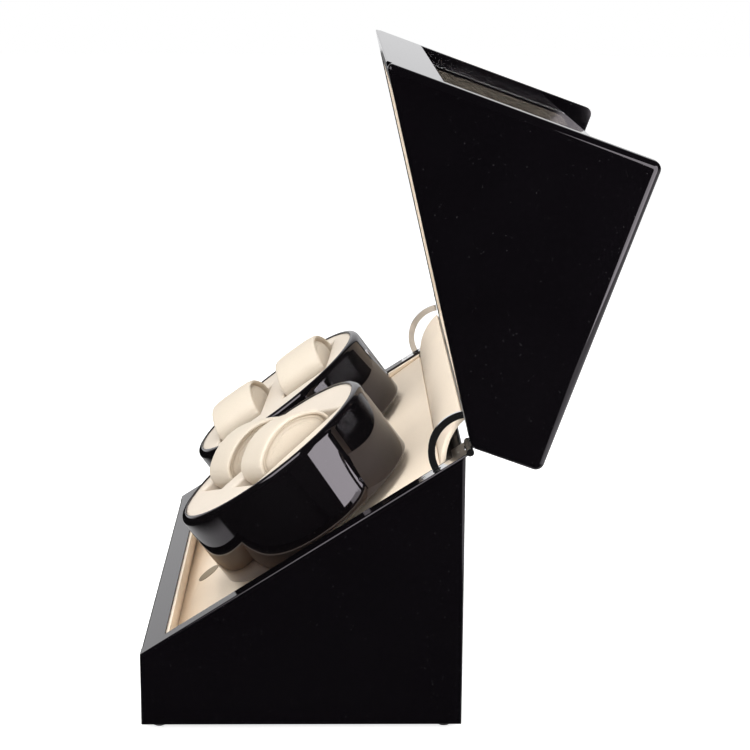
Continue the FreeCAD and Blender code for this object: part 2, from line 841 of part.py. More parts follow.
def lid_rim_at(y):
    """Height of the shut lid's rim over the hinge axis, at one y from that axis."""
    return f"lid_rim + (({y}) - lid_rear) * rim_rise"


def window_outline(grow):
    """Section of the bent window: up behind the front rail, round the bend and back to the rear board."""
    front = f"window_front - {grow}"
    top = f"window_top + {grow}"
    thick = f"window_thick + 2 * {grow}"
    low = f"rail_top - window_groove - {grow}"
    rear = f"lid_rear - lid_back_board + window_groove + {grow}"
    return [
        (front, low),
        (f"{front} + {thick}", low),
        (f"{front} + {thick}", f"{top} - ({thick})"),
        (rear, f"{top} - ({thick})"),
        (rear, top),
        (front, top),
    ]


def bent_window(name, grow, width):
    """The bent sheet, or the groove that holds it."""
    points = window_outline(grow)
    body = pad(new_body(name), "YZ_Plane", points, width)
    outer = [value(text) for text in points[5]]
    inner = [value(text) for text in points[2]]
    round_edges(body, f"window_bend + {grow}", lambda edge: through(edge, *outer))
    round_edges(body, f"window_bend - window_thick - {grow}", lambda edge: through(edge, *inner))
    place(body, LID)
    return body


def make_window():
    """Clear window of one bent sheet, held in grooves. Returns the groove's tool."""
    width = "2 * (inner_half + window_groove)"
    node("lid_window", bent_window("lid_window", 0, f"{width} - 2 * window_fit"))
    return bent_window("window_groove_tool", "window_fit", width)


GROOVE = make_window()


def make_lid_side(side):
    """Wedge-shaped lid side, well rounded outside and less so at the rim, with the stay's slot inside it."""
    body = pad(new_body(f"lid_side_{side}"), "YZ_Plane", [
        ("lid_front", lid_rim_at("lid_front")),
        ("lid_rear", lid_rim_at("lid_rear")),
        ("lid_rear", "lid_top"),
        ("lid_front", "lid_top"),
    ], "side_board")
    ends = [value("lid_front"), value("lid_rear")]
    top = value("lid_top")
    round_edges(body, "corner_round", lambda edge: any(through(edge, y, top) for y in ends))
    outer = SIDES[side] * value("side_board") / 2
    round_edges(body, "lid_round", lambda edge: on_x(edge, outer) and not slants(edge))
    round_edges(body, "edge_round", lambda edge: on_x(edge, outer) and slants(edge))
    place(body, LID, frame(f"{SIDES[side]} * board_middle"))
    tools = RECESSES[side]
    node(f"lid_{side}_board", cut(f"lid_{side}_board", body, tools["lid"], tools["lid_slot"], GROOVE))


def make_lid_rail():
    """Solid rail along the lower front of the lid, with a sharp tip at the rim."""
    inner = "lid_front + lid_rail_thick"
    body = pad(new_body("lid_rail"), "YZ_Plane", [
        ("lid_front", lid_rim_at("lid_front")),
        (inner, lid_rim_at(inner)),
        (inner, "rail_top"),
        ("lid_front", "rail_top"),
    ], "2 * inner_half")
    front = value("lid_front")
    round_edges(body, "edge_round", lambda edge: through(edge, front, value("rail_top")))
    round_edges(body, "tip_round", lambda edge: through(edge, front, value(lid_rim_at("lid_front"))))
    place(body, LID)
    node("lid_front_rail", cut("lid_front_rail", body, GROOVE))


def make_lid_back():
    """Short rear board of the lid."""
    inner = "lid_rear - lid_back_board"
    body = pad(new_body("lid_back"), "YZ_Plane", [
        (inner, lid_rim_at(inner)),
        ("lid_rear", lid_rim_at("lid_rear")),
        ("lid_rear", "lid_top"),
        (inner, "lid_top"),
    ], "2 * inner_half")
    rear = value("lid_rear")
    round_edges(body, "corner_round", lambda edge: through(edge, rear, value("lid_top")))
    round_edges(body, "edge_round", lambda edge: through(edge, rear, value(lid_rim_at("lid_rear"))))
    place(body, LID)
    node("lid_back_board", cut("lid_back_board", body, GROOVE, *(RECESSES[s]["lid"] for s in SIDES)))


def make_lid_side_lining(side):
    """Lining board inside a lid side, under the window and just inside the rim."""
    front = "lid_front + lid_rail_thick"
    rear = "lid_rear - lid_back_board"
    top = "window_top - window_thick"
    body = pad(new_body(f"lid_lining_{side}"), "YZ_Plane", [
        (front, f"{lid_rim_at(front)} + lid_lining_drop"),
        (rear, f"{lid_rim_at(rear)} + lid_lining_drop"),
        (rear, top),
        (front, top),
    ], "lining")
    corner = [value(front), value(top)]
    round_edges(body, "window_bend", lambda edge: through(edge, *corner))
    place(body, LID, frame(f"{SIDES[side]} * (inner_half - lining / 2)"))
    node(f"lid_{side}_lining", body)


def make_lid_back_lining():
    """Lining board inside the lid's rear board."""
    rear = "lid_rear - lid_back_board"
    front = "lid_rear - lid_back_board - lining"
    body = pad(new_body("lid_lining_back"), "YZ_Plane", [
        (front, f"{lid_rim_at(front)} + lining_drop"),
        (rear, f"{lid_rim_at(front)} + lining_drop"),
        (rear, "window_top - window_thick"),
        (front, "window_top - window_thick"),
    ], "2 * (inner_half - lining)")
    place(body, LID)
    node("lid_back_lining", body)


# Build

def build():
    """Make every sub-part in the order of assembly."""
    make_base_front()
    make_base_back()
    make_base_bottom()
    make_feet()
    make_deck()
    make_base_front_lining()
    make_flap()
    make_panel()
    make_inlet()
    make_card()
    make_lid_rail()
    make_lid_back()
    make_lid_back_lining()
    for side in SIDES:
        make_base_side(side)
        make_batten(side)
        make_base_side_lining(side)
        make_cup(side)
        make_insert(side)
        make_cushion(side, "lower", -1)
        make_cushion(side, "upper", 1)
        make_drive(side)
        make_switch(side)
        make_lid_side(side)
        make_lid_side_lining(side)
    doc.recompute()


def check():
    """Stop if an object failed or a sub-part has no valid shape."""
    for thing in doc.Objects:
        if {"Invalid", "Error"} & set(thing.State):
            raise RuntimeError(f"{thing.Name} failed: {thing.State}")
    for label, thing in NODES.items():
        if thing.Shape.isNull() or not thing.Shape.isValid() or not thing.Shape.Solids:
            raise RuntimeError(f"{label} has no valid solid")


def write():
    """Write each sub-part to its own file."""
    os.makedirs("parts", exist_ok=True)
    for label, thing in NODES.items():
        thing.Shape.exportStep(f"parts/{label}.step")


build()
check()
write()
print(len(NODES), "sub-parts")
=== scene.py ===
import json
import logging
import math
from abc import ABC, abstractmethod
from dataclasses import dataclass, field
from enum import Enum
from typing import Union

import bmesh
import bpy
import numpy as np
from mathutils import Matrix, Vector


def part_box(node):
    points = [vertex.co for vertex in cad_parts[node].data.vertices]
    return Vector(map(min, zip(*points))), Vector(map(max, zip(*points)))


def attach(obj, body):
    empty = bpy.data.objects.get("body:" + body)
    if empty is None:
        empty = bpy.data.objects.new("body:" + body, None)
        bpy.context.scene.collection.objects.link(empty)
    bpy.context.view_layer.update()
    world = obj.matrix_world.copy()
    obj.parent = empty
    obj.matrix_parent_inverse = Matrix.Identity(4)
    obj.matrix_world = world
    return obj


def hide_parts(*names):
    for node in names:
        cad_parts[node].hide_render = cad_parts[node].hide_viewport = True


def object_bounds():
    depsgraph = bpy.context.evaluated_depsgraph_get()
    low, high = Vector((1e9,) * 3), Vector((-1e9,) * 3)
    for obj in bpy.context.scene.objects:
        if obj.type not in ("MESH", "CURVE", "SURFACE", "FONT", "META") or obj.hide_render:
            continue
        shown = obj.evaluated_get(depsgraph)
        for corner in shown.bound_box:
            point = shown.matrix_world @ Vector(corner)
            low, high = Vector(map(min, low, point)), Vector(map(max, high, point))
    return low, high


# Looks of a watch winder box: lacquered case, leatherette lining, two gloss rotor cups with padded inserts
# and watch cushions, bright hinges and the controls on the back. Metres, in the frame of the solids.

LOG = logging.getLogger("watch_winder_box")
MM = 0.001

Array = np.ndarray
Colour = tuple[float, float, float]
Plug = Union["Wire", float, tuple]

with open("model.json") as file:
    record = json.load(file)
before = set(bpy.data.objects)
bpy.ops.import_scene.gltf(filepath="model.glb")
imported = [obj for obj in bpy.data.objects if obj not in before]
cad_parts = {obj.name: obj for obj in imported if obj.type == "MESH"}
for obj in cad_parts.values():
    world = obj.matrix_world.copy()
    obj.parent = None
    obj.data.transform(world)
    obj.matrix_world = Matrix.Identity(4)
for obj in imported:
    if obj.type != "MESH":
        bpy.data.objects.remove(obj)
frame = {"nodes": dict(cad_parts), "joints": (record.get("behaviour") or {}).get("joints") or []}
CAD_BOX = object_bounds()


class Slot(Enum):
    """Material slots of the record."""

    LACQUER = "black_lacquer"
    BOARD = "plain_board"
    LINING = "cream_leatherette"
    CUSHION = "cushion_leatherette"
    INSERT = "insert_leatherette"
    CUP = "black_gloss_plastic"
    WINDOW = "clear_window"
    CHROME = "chrome_plate"
    RUBBER = "grey_rubber"
    MOTOR = "motor_steel"
    PLASTIC = "black_plastic"
    CARD = "green_card"
    PLUG = "taupe_plastic"


class Side(Enum):
    """The two sides of the box, as the sub-parts are named."""

    LEFT = "left"
    RIGHT = "right"


class End(Enum):
    """The two cushions of a rotor, by which is lower on the deck."""

    LOWER = "lower"
    UPPER = "upper"


# Shader sums

MIX_COLOURS = (6, 7)
MIX_RESULT = 2


class Wire:
    """A shader output that can be used in sums."""

    def __init__(self, graph: "Graph", socket: bpy.types.NodeSocket) -> None:
        """Keep the socket and the graph that it belongs to."""
        self.graph = graph
        self.socket = socket

    def __add__(self, other: Plug) -> "Wire":
        """Sum."""
        return self.graph.math("ADD", self, other)

    def __radd__(self, other: Plug) -> "Wire":
        """Sum, with the number first."""
        return self.graph.math("ADD", other, self)

    def __sub__(self, other: Plug) -> "Wire":
        """Difference."""
        return self.graph.math("SUBTRACT", self, other)

    def __rsub__(self, other: Plug) -> "Wire":
        """Difference, with the number first."""
        return self.graph.math("SUBTRACT", other, self)

    def __mul__(self, other: Plug) -> "Wire":
        """Product."""
        return self.graph.math("MULTIPLY", self, other)

    def __rmul__(self, other: Plug) -> "Wire":
        """Product, with the number first."""
        return self.graph.math("MULTIPLY", other, self)

    def step(self, low: float, high: float) -> "Wire":
        """Smooth rise from 0 to 1.

        Args:
            low: value below which the result is 0.
            high: value above which the result is 1.

        Returns:
            The smoothed value.
        """
        settings = {"interpolation_type": "SMOOTHSTEP"}
        inputs = {"Value": self, "From Min": low, "From Max": high}
        return self.graph.node("ShaderNodeMapRange", "Result", settings, inputs)


class Graph:
    """The node tree of one material or of the world."""

    def __init__(self, tree: bpy.types.NodeTree) -> None:
        """Start from an empty tree."""
        self.tree = tree
        tree.nodes.clear()

    def node(self, kind: str, output: Union[str, int], settings: dict, inputs: dict) -> Wire:
        """Add a node.

        Args:
            kind: the node's type name.
            output: name or number of the output that is wanted.
            settings: attributes of the node, set first.
            inputs: what goes into its sockets, by name or number.

        Returns:
            The wanted output.
        """
        made = self.tree.nodes.new(kind)
        for key, value in settings.items():
            setattr(made, key, value)
        for key, value in inputs.items():
            self.plug(made.inputs[key], value)
        return Wire(self, made.outputs[output])

    def plug(self, socket: bpy.types.NodeSocket, value: Plug) -> None:
        """Link a wire to a socket, or set the socket to a constant."""
        if isinstance(value, Wire):
            self.tree.links.new(value.socket, socket)
        else:
            socket.default_value = value

    def end(self, kind: str, shader: Wire) -> None:
        """Join a shader to an output node of this kind."""
        self.plug(self.tree.nodes.new(kind).inputs["Surface"], shader)

    def math(self, operation: str, a: Plug, b: Plug) -> Wire:
        """One sum of two values."""
        return self.node("ShaderNodeMath", 0, {"operation": operation}, {0: a, 1: b})

    def place(self, stretch: tuple = (1.0, 1.0, 1.0)) -> Wire:
        """Object coordinates in metres, stretched along the axes."""
        where = self.node("ShaderNodeTexCoord", "Object", {}, {})
        return self.node("ShaderNodeMapping", 0, {}, {"Vector": where, "Scale": stretch})

    def noise(self, size: float, detail: float = 2.0, stretch: tuple = (1.0, 1.0, 1.0)) -> Wire:
        """Cloudy noise from 0 to 1.

        Args:
            size: length of one cloud, in metres.
            detail: how many finer layers are added.
            stretch: factors on the three axes.

        Returns:
            The noise.
        """
        inputs = {"Vector": self.place(stretch), "Scale": 1.0 / size, "Detail": detail}
        return self.node("ShaderNodeTexNoise", "Fac", {}, inputs)

    def cells(self, size: float) -> Wire:
        """Distance to the nearest of scattered points that stand about a size apart."""
        inputs = {"Vector": self.place(), "Scale": 1.0 / size}
        return self.node("ShaderNodeTexVoronoi", "Distance", {}, inputs)

    def blend(self, share: Plug, a: Plug, b: Plug) -> Wire:
        """A colour between two, by a share."""
        ends = [end if isinstance(end, Wire) else (*end, 1.0) for end in (a, b)]
        inputs = {0: share, **dict(zip(MIX_COLOURS, ends))}
        return self.node("ShaderNodeMix", MIX_RESULT, {"data_type": "RGBA"}, inputs)

    def bump(self, height: Wire, depth: float, strength: float) -> Wire:
        """A normal that follows a height.

        Args:
            height: the height, from 0 to 1.
            depth: real depth of the relief, in metres.
            strength: how much of it shows.

        Returns:
            The bent normal.
        """
        inputs = {"Height": height, "Distance": depth, "Strength": strength}
        return self.node("ShaderNodeBump", 0, {}, inputs)


# Finishes

def shade(colour: Colour, factor: float) -> Colour:
    """A colour made darker or lighter by a factor."""
    return tuple(factor * part for part in colour)


@dataclass(frozen=True)
class Finish(ABC):
    """A surface finish: a name, a colour and a way to fill a node tree."""

    name: str
    colour: Colour

    def material(self) -> bpy.types.Material:
        """Make the material, or give the one that was made before.

        Returns:
            The material.
        """
        known = bpy.data.materials.get(self.name)
        if known:
            return known
        made = bpy.data.materials.new(self.name)
        made.use_nodes = True
        graph = Graph(made.node_tree)
        shader = graph.node("ShaderNodeBsdfPrincipled", 0, {}, self.inputs(graph))
        graph.end("ShaderNodeOutputMaterial", shader)
        made.diffuse_color = (*self.colour, 1.0)
        return made

    @abstractmethod
    def inputs(self, graph: Graph) -> dict:
        """Inputs of the surface shader.

        Args:
            graph: the tree in which their nodes are made.

        Returns:
            Values and wires by socket name.
        """


@dataclass(frozen=True)
class Gloss(Finish):
    """Polished lacquer or plastic: faint orange peel, cloudy polish, specks of dust and a tinted sheen."""

    roughness: float = 0.05
    peel: float = 0.03
    dust: float = 0.015
    index: float = 1.55
    sheen: tuple = (1.0, 0.92, 1.0, 1.0)
    cloud_size: float = 60 * MM
    speck_size: float = 1.3 * MM
    speck_limits: tuple = (0.74, 0.80)
    wave_size: float = 9 * MM
    wave_depth: float = 0.05 * MM

    def inputs(self, graph: Graph) -> dict:
        """Dark body, roughness that varies with the polish, and dust where fine noise is highest."""
        clouds = graph.noise(self.cloud_size)
        specks = graph.noise(self.speck_size, 1.0).step(*self.speck_limits)
        body = graph.blend(clouds, shade(self.colour, 0.8), shade(self.colour, 1.25))
        lighter = tuple(part + self.dust for part in self.colour)
        waves = graph.noise(self.wave_size, 1.0)
        return {
            "Base Color": graph.blend(specks, body, lighter),
            "Roughness": self.roughness * (0.7 + 0.6 * clouds) + 0.25 * specks,
            "Normal": graph.bump(waves, self.wave_depth, self.peel),
            "IOR": self.index,
            "Specular Tint": self.sheen,
        }


@dataclass(frozen=True)
class Leatherette(Finish):
    """Soft matt leatherette: pebbled grain with painted shade in its valleys, fine pores and slow changes of
    tone.
    """

    grain: float = 0.9 * MM
    relief: float = 0.16
    depth: float = 0.25 * MM
    cloud_size: float = 45 * MM
    pore_size: float = 0.35 * MM
    valley_limits: tuple = (0.55, 0.95)

    def inputs(self, graph: Graph) -> dict:
        """Tone from slow clouds, painted shade in the grain's valleys, relief from cells and fine noise."""
        clouds = graph.noise(self.cloud_size, 3.0)
        pebbles = graph.cells(self.grain)
        pores = graph.noise(self.pore_size, 2.0)
        height = 0.7 * (1.0 - pebbles) + 0.3 * pores
        tone = graph.blend(clouds, shade(self.colour, 0.95), shade(self.colour, 1.03))
        valleys = pebbles.step(*self.valley_limits)
        return {
            # The grain's valleys are painted darker: painted shade in the valleys.
            "Base Color": graph.blend(0.22 * valleys, tone, shade(self.colour, 0.80)),
            "Roughness": 0.50 + 0.12 * clouds + 0.08 * valleys,
            "Normal": graph.bump(height, self.depth, self.relief),
            "Specular IOR Level": 0.3,
            "Sheen Weight": 0.04,
            "Sheen Roughness": 0.5,
        }


@dataclass(frozen=True)
class Bright(Finish):
    """Plated or bare metal with fine rubbing marks along one axis."""

    roughness: float = 0.12
    along: tuple = (0.08, 1.0, 1.0)
    streak_size: float = 0.5 * MM
    cloud_size: float = 8 * MM
    depth: float = 0.02 * MM
    relief: float = 0.06

    def inputs(self, graph: Graph) -> dict:
        """Metal whose tone and roughness follow fine streaks and slow clouds."""
        streaks = graph.noise(self.streak_size, 2.0, self.along)
        clouds = graph.noise(self.cloud_size, 2.0)
        return {
            "Base Color": graph.blend(clouds, shade(self.colour, 0.88), self.colour),
            "Metallic": 1.0,
            "Roughness": self.roughness * (0.6 + 0.5 * clouds + 0.4 * streaks),
            "Normal": graph.bump(streaks, self.depth, self.relief),
        }


@dataclass(frozen=True)
class Clear(Finish):
    """Clear acrylic or silicone with a trace of haze."""

    roughness: float = 0.004
    index: float = 1.49
    haze_size: float = 50 * MM
    haze_rise: float = 0.012

    def inputs(self, graph: Graph) -> dict:
        """Clear body whose roughness rises a little in slow clouds."""
        haze = graph.noise(self.haze_size, 2.0)
        return {
            "Base Color": graph.blend(haze, shade(self.colour, 0.99), self.colour),
            "Roughness": self.roughness + self.haze_rise * haze,
            "IOR": self.index,
            "Transmission Weight": 1.0,
        }


@dataclass(frozen=True)
class Moulded(Finish):
    """Satin plastic, card or matt board with a fine even texture."""

    roughness: float = 0.5
    texture: float = 0.6 * MM
    relief: float = 0.15
    depth: float = 0.1 * MM
    cloud_size: float = 20 * MM

    def inputs(self, graph: Graph) -> dict:
        """Tone from slow clouds, relief and roughness from fine noise."""
        clouds = graph.noise(self.cloud_size, 3.0)
        fine = graph.noise(self.texture, 2.0)
        return {
            "Base Color": graph.blend(clouds, shade(self.colour, 0.82), shade(self.colour, 1.12)),
            "Roughness": self.roughness * (0.85 + 0.3 * fine),
            "Normal": graph.bump(fine, self.depth, self.relief),
        }


FINISHES: dict[Slot, Finish] = {
    Slot.LACQUER: Gloss("piano_black_lacquer", (0.0022, 0.0018, 0.0024), roughness=0.045),
    Slot.BOARD: Moulded("dark_board", (0.045, 0.040, 0.036), roughness=0.75, texture=1.2 * MM),
    # Painted light and shade: the lining's colour is set lighter, and the cushions' and inserts' darker,
    # than their own cream, to make up for how much lamp light each gets.
    Slot.LINING: Leatherette("lining_leatherette", (0.93, 0.795, 0.64)),
    Slot.CUSHION: Leatherette("padded_leatherette", (0.70, 0.615, 0.505), grain=0.8 * MM),
    Slot.INSERT: Leatherette("cup_leatherette", (0.735, 0.65, 0.552), grain=0.8 * MM),
    Slot.CUP: Gloss("cup_gloss_black", (0.003, 0.0025, 0.003), roughness=0.03, peel=0.015, index=1.7),
    Slot.WINDOW: Clear("clear_acrylic", (0.97, 0.98, 0.98)),
    Slot.CHROME: Bright("hinge_chrome", (0.90, 0.90, 0.91)),
    Slot.RUBBER: Clear("foot_silicone", (0.62, 0.61, 0.62), roughness=0.16),
    Slot.MOTOR: Bright("drawn_steel", (0.52, 0.52, 0.51), roughness=0.32),
    Slot.PLASTIC: Moulded("satin_black_plastic", (0.020, 0.020, 0.021), roughness=0.42),
    Slot.CARD: Moulded("circuit_card_green", (0.03, 0.16, 0.07), roughness=0.4, texture=2 * MM),
    Slot.PLUG: Moulded("taupe_deck_disc", (0.30, 0.25, 0.18), roughness=0.55, texture=0.9 * MM, relief=0.3),
}


# Surfaces

MERGE_DISTANCE = 0.01 * MM
FLAT_ANGLE = math.radians(1)
EDGE_ANGLE = math.radians(30)
EDGE_STEPS = 4


@dataclass(frozen=True)
class Axes:
    """A local frame: an origin and three unit vectors."""

    origin: Array
    x: Array
    y: Array
    z: Array

    def world(self, local: Array) -> Array:
        """Points of this frame, as the object's frame has them."""
        return self.origin + local @ np.stack([self.x, self.y, self.z])

    def local(self, points: Array) -> Array:
        """Points of the object's frame, as this frame has them."""
        return (points - self.origin) @ np.stack([self.x, self.y, self.z]).T


def node_points(node: str) -> Array:
    """Corners of a solid's mesh.

    Args:
        node: name of the sub-part.

    Returns:
        Array of points, three columns.
    """
    mesh = frame["nodes"][node].data
    flat = np.empty(3 * len(mesh.vertices))
    mesh.vertices.foreach_get("co", flat)
    return flat.reshape(-1, 3)


def joint(name: str) -> dict:
    """The record's entry for a joint."""
    return next(entry for entry in frame["joints"] if entry["name"] == name)


def rounded(corners: Array, radii: Array, steps: int = 6, lead: float = 0.3 * MM) -> Array:
    """A closed outline with round corners.

    Each corner becomes an arc that starts one tangent length before it and turns by the corner's angle. A
    point a little before and after each arc keeps the straight runs flat under smooth shading.

    Args:
        corners: two columns, in order round the outline.
        radii: radius at each corner.
        steps: points on each arc.
        lead: distance of the added points from the arc.

    Returns:
        Points of the outline, two columns.
    """
    before = corners - np.roll(corners, 1, axis=0)
    after = np.roll(corners, -1, axis=0) - corners
    u = before / np.linalg.norm(before, axis=1, keepdims=True)
    v = after / np.linalg.norm(after, axis=1, keepdims=True)
    turn = np.arctan2(u[:, 0] * v[:, 1] - u[:, 1] * v[:, 0], (u * v).sum(1))
    tangent = (radii * np.tan(np.abs(turn) / 2))[:, None]
    inward = np.sign(turn)[:, None] * np.stack([-u[:, 1], u[:, 0]], axis=1)
    start = corners - tangent * u
    angle = np.abs(turn)[:, None] * np.linspace(0, 1, steps)
    reach = np.sin(angle)[..., None] * u[:, None] + (1 - np.cos(angle))[..., None] * inward[:, None]
    arcs = start[:, None] + radii[:, None, None] * reach
    first = (start - lead * u)[:, None]
    last = (corners + tangent * v + lead * v)[:, None]
    return np.concatenate([first, arcs, last], axis=1).reshape(-1, 2)


def even(outline: Array, spacing: float) -> Array:
    """A closed outline with points at even distances along it.

    Args:
        outline: points, two columns.
        spacing: wanted distance between points.

    Returns:
        New points, two columns.
    """
    closed = np.vstack([outline, outline[:1]])
    lengths = np.linalg.norm(np.diff(closed, axis=0), axis=1)
    way = np.concatenate([[0], np.cumsum(lengths)])
    count = int(round(way[-1] / spacing))
    at = np.linspace(0, way[-1], count, endpoint=False)
    return np.stack([np.interp(at, way, closed[:, column]) for column in range(2)], axis=1)


def quads(rows: int, columns: int, wrap_rows: bool, wrap_columns: bool) -> Array:
    """Faces of a grid of points, each from a point, the next row, both, and the next column.

    Args:
        rows: points along the first parameter.
        columns: points along the second parameter.
        wrap_rows: the last row joins the first.
        wrap_columns: the last column joins the first.

    Returns:
        Four point numbers for each face.
    """
    i, j = np.meshgrid(np.arange(rows - (not wrap_rows)), np.arange(columns - (not wrap_columns)),
                       indexing="ij")
    down, right = (i + 1) % rows, (j + 1) % columns
    around = [i * columns + j, down * columns + j, down * columns + right, i * columns + right]
    return np.stack(around, axis=-1).reshape(-1, 4)


def new_piece(name: str, points: Array, faces: list, outward: bool = True) -> bpy.types.Object:
    """Make a smooth mesh object from points and faces.

    Args:
        name: the piece's name.
        points: its points, three columns.
        faces: point numbers of each face.
        outward: the surface is closed and its faces are turned to point outwards.

    Returns:
        The object, at the origin.
    """
    mesh = bpy.data.meshes.new(name)
    mesh.from_pydata(points.reshape(-1, 3).tolist(), [], faces)
    if outward:
        work = bmesh.new()
        work.from_mesh(mesh)
        bmesh.ops.recalc_face_normals(work, faces=work.faces)
        work.to_mesh(mesh)
        work.free()
    mesh.shade_smooth()
    piece = bpy.data.objects.new(name, mesh)
    bpy.context.scene.collection.objects.link(piece)
    return piece


def joined(name: str, *shells: tuple[Array, bool]) -> bpy.types.Object:
    """Several grids of points in one closed mesh. Each row of a grid is a closed loop.

    Args:
        name: the piece's name.
        shells: points of each grid, (rows, points, 3), and whether its last row joins its first. Where it
            doesn't, a face closes each end.

    Returns:
        The object.
    """
    faces: list = []
    first = 0
    for grid, ring in shells:
        rows, columns = grid.shape[:2]
        faces += (quads(rows, columns, ring, True) + first).tolist()
        if not ring:
            loop = np.arange(columns) + first
            faces += [loop.tolist(), (loop + (rows - 1) * columns).tolist()]
        first += rows * columns
    return new_piece(name, np.concatenate([grid.reshape(-1, 3) for grid, _ in shells]), faces)


def swept(profile: Array, axes: Axes, around: int = 144) -> Array:
    """A profile turned about the z axis of a frame: each point (r, z) goes round a circle of radius r.

    Args:
        profile: radius and height of each point of the profile.
        axes: frame of the turning axis.
        around: points on the circle.

    Returns:
        (profile points, points on the circle, 3).
    """
    angle = np.linspace(0, 2 * math.pi, around, endpoint=False)
    radius, height = profile[:, :1], profile[:, 1:]
    x, y = radius * np.cos(angle), radius * np.sin(angle)
    return axes.world(np.stack([x, y, height + 0 * angle], axis=-1))


def dress(node: str, slot: Slot) -> None:
    """Give a solid that stays in view its finish."""
    for place in frame["nodes"][node].material_slots:
        place.material = FINISHES[slot].material()


def finish_piece(piece: bpy.types.Object, body: str, slot: Slot, *nodes: str) -> bpy.types.Object:
    """Give a new piece its finish and its body, and the solids that it stands for.

    Args:
        piece: the new piece.
        body: the body that it moves with.
        slot: its material slot.
        nodes: the solids that it stands for.

    Returns:
        The piece.
    """
    piece.data.materials.clear()
    piece.data.materials.append(FINISHES[slot].material())
    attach(piece, body)
    if nodes:
        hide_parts(*nodes)
    LOG.info("%s rides on %s", piece.name, body)
    return piece


def softened(node: str, name: str, radius: float) -> bpy.types.Object:
    """A covered board: the solid's own mesh, merged and joined into flat faces, with every edge rounded.

    Args:
        node: the solid that is copied.
        name: the piece's name.
        radius: radius of the rounded edges.

    Returns:
        The object.
    """
    work = bmesh.new()
    work.from_mesh(frame["nodes"][node].data)
    bmesh.ops.remove_doubles(work, verts=work.verts, dist=MERGE_DISTANCE)
    bmesh.ops.dissolve_limit(work, angle_limit=FLAT_ANGLE, verts=work.verts, edges=work.edges)
    mesh = bpy.data.meshes.new(name)
    work.to_mesh(mesh)
    work.free()
    mesh.shade_smooth()
    piece = bpy.data.objects.new(name, mesh)
    bpy.context.scene.collection.objects.link(piece)
    edge = piece.modifiers.new("rounded_edges", "BEVEL")
    edge.width = radius
    edge.segments = EDGE_STEPS
    edge.limit_method = "ANGLE"
    edge.angle_limit = EDGE_ANGLE
    edge.harden_normals = True
    return piece


# The case

@dataclass
class Case:
    """Lacquered boards of the base and the lid, the covered linings, the deck, the feet and the window."""

    cover_round: float = 0.8 * MM
    boards: tuple = ("base_back_board", "base_front_board", "base_left_board", "base_right_board",
                     "lid_back_board", "lid_left_board", "lid_right_board", "lid_front_rail")
    base_covered: tuple = ("base_front_lining", "base_left_lining", "base_right_lining", "deck_panel")
    lid_covered: tuple = ("lid_back_lining", "lid_left_lining", "lid_right_lining")
    plain: tuple = ("base_bottom_board", "deck_batten_left", "deck_batten_right")
    dome_start: float = 0.05
    dome_rings: int = 16
    dome_around: int = 64

    def build(self) -> None:
        """Dress the boards, the taupe disc in the deck and the window, cover the linings and the deck, and
        add the feet.
        """
        for node in self.boards:
            dress(node, Slot.LACQUER)
        for node in self.plain:
            dress(node, Slot.BOARD)
        # A flat taupe disc set in the deck.
        dress("deck_plug", Slot.PLUG)
        dress("lid_window", Slot.WINDOW)
        for body, nodes in (("base", self.base_covered), ("lid", self.lid_covered)):
            for node in nodes:
                finish_piece(softened(node, f"{node}_cover", self.cover_round), body, Slot.LINING, node)
        self.build_feet()

    def build_feet(self) -> None:
        """Four domed bumpers, each a quarter ellipse of height over radius turned about its own axis."""
        points = node_points("rubber_feet")
        corner = points[(points[:, 0] > 0) & (points[:, 1] > 0)]
        middle = (corner.max(0) + corner.min(0)) / 2
        radius = (corner[:, 0].max() - corner[:, 0].min()) / 2
        share = np.sin(np.linspace(self.dome_start, math.pi / 2, self.dome_rings))
        profile = np.stack([radius * share, corner[:, 2].max() * (1 - np.sqrt(1 - share ** 2))], axis=1)
        across, along, up = np.eye(3)
        spots = [(x * middle[0], y * middle[1], 0) for x in (-1, 1) for y in (-1, 1)]
        seats = [Axes(np.array(spot), across, along, up) for spot in spots]
        domes = [(swept(profile, seat, self.dome_around), False) for seat in seats]
        finish_piece(joined("domed_feet", *domes), "base", Slot.RUBBER, "rubber_feet")


# The rotors

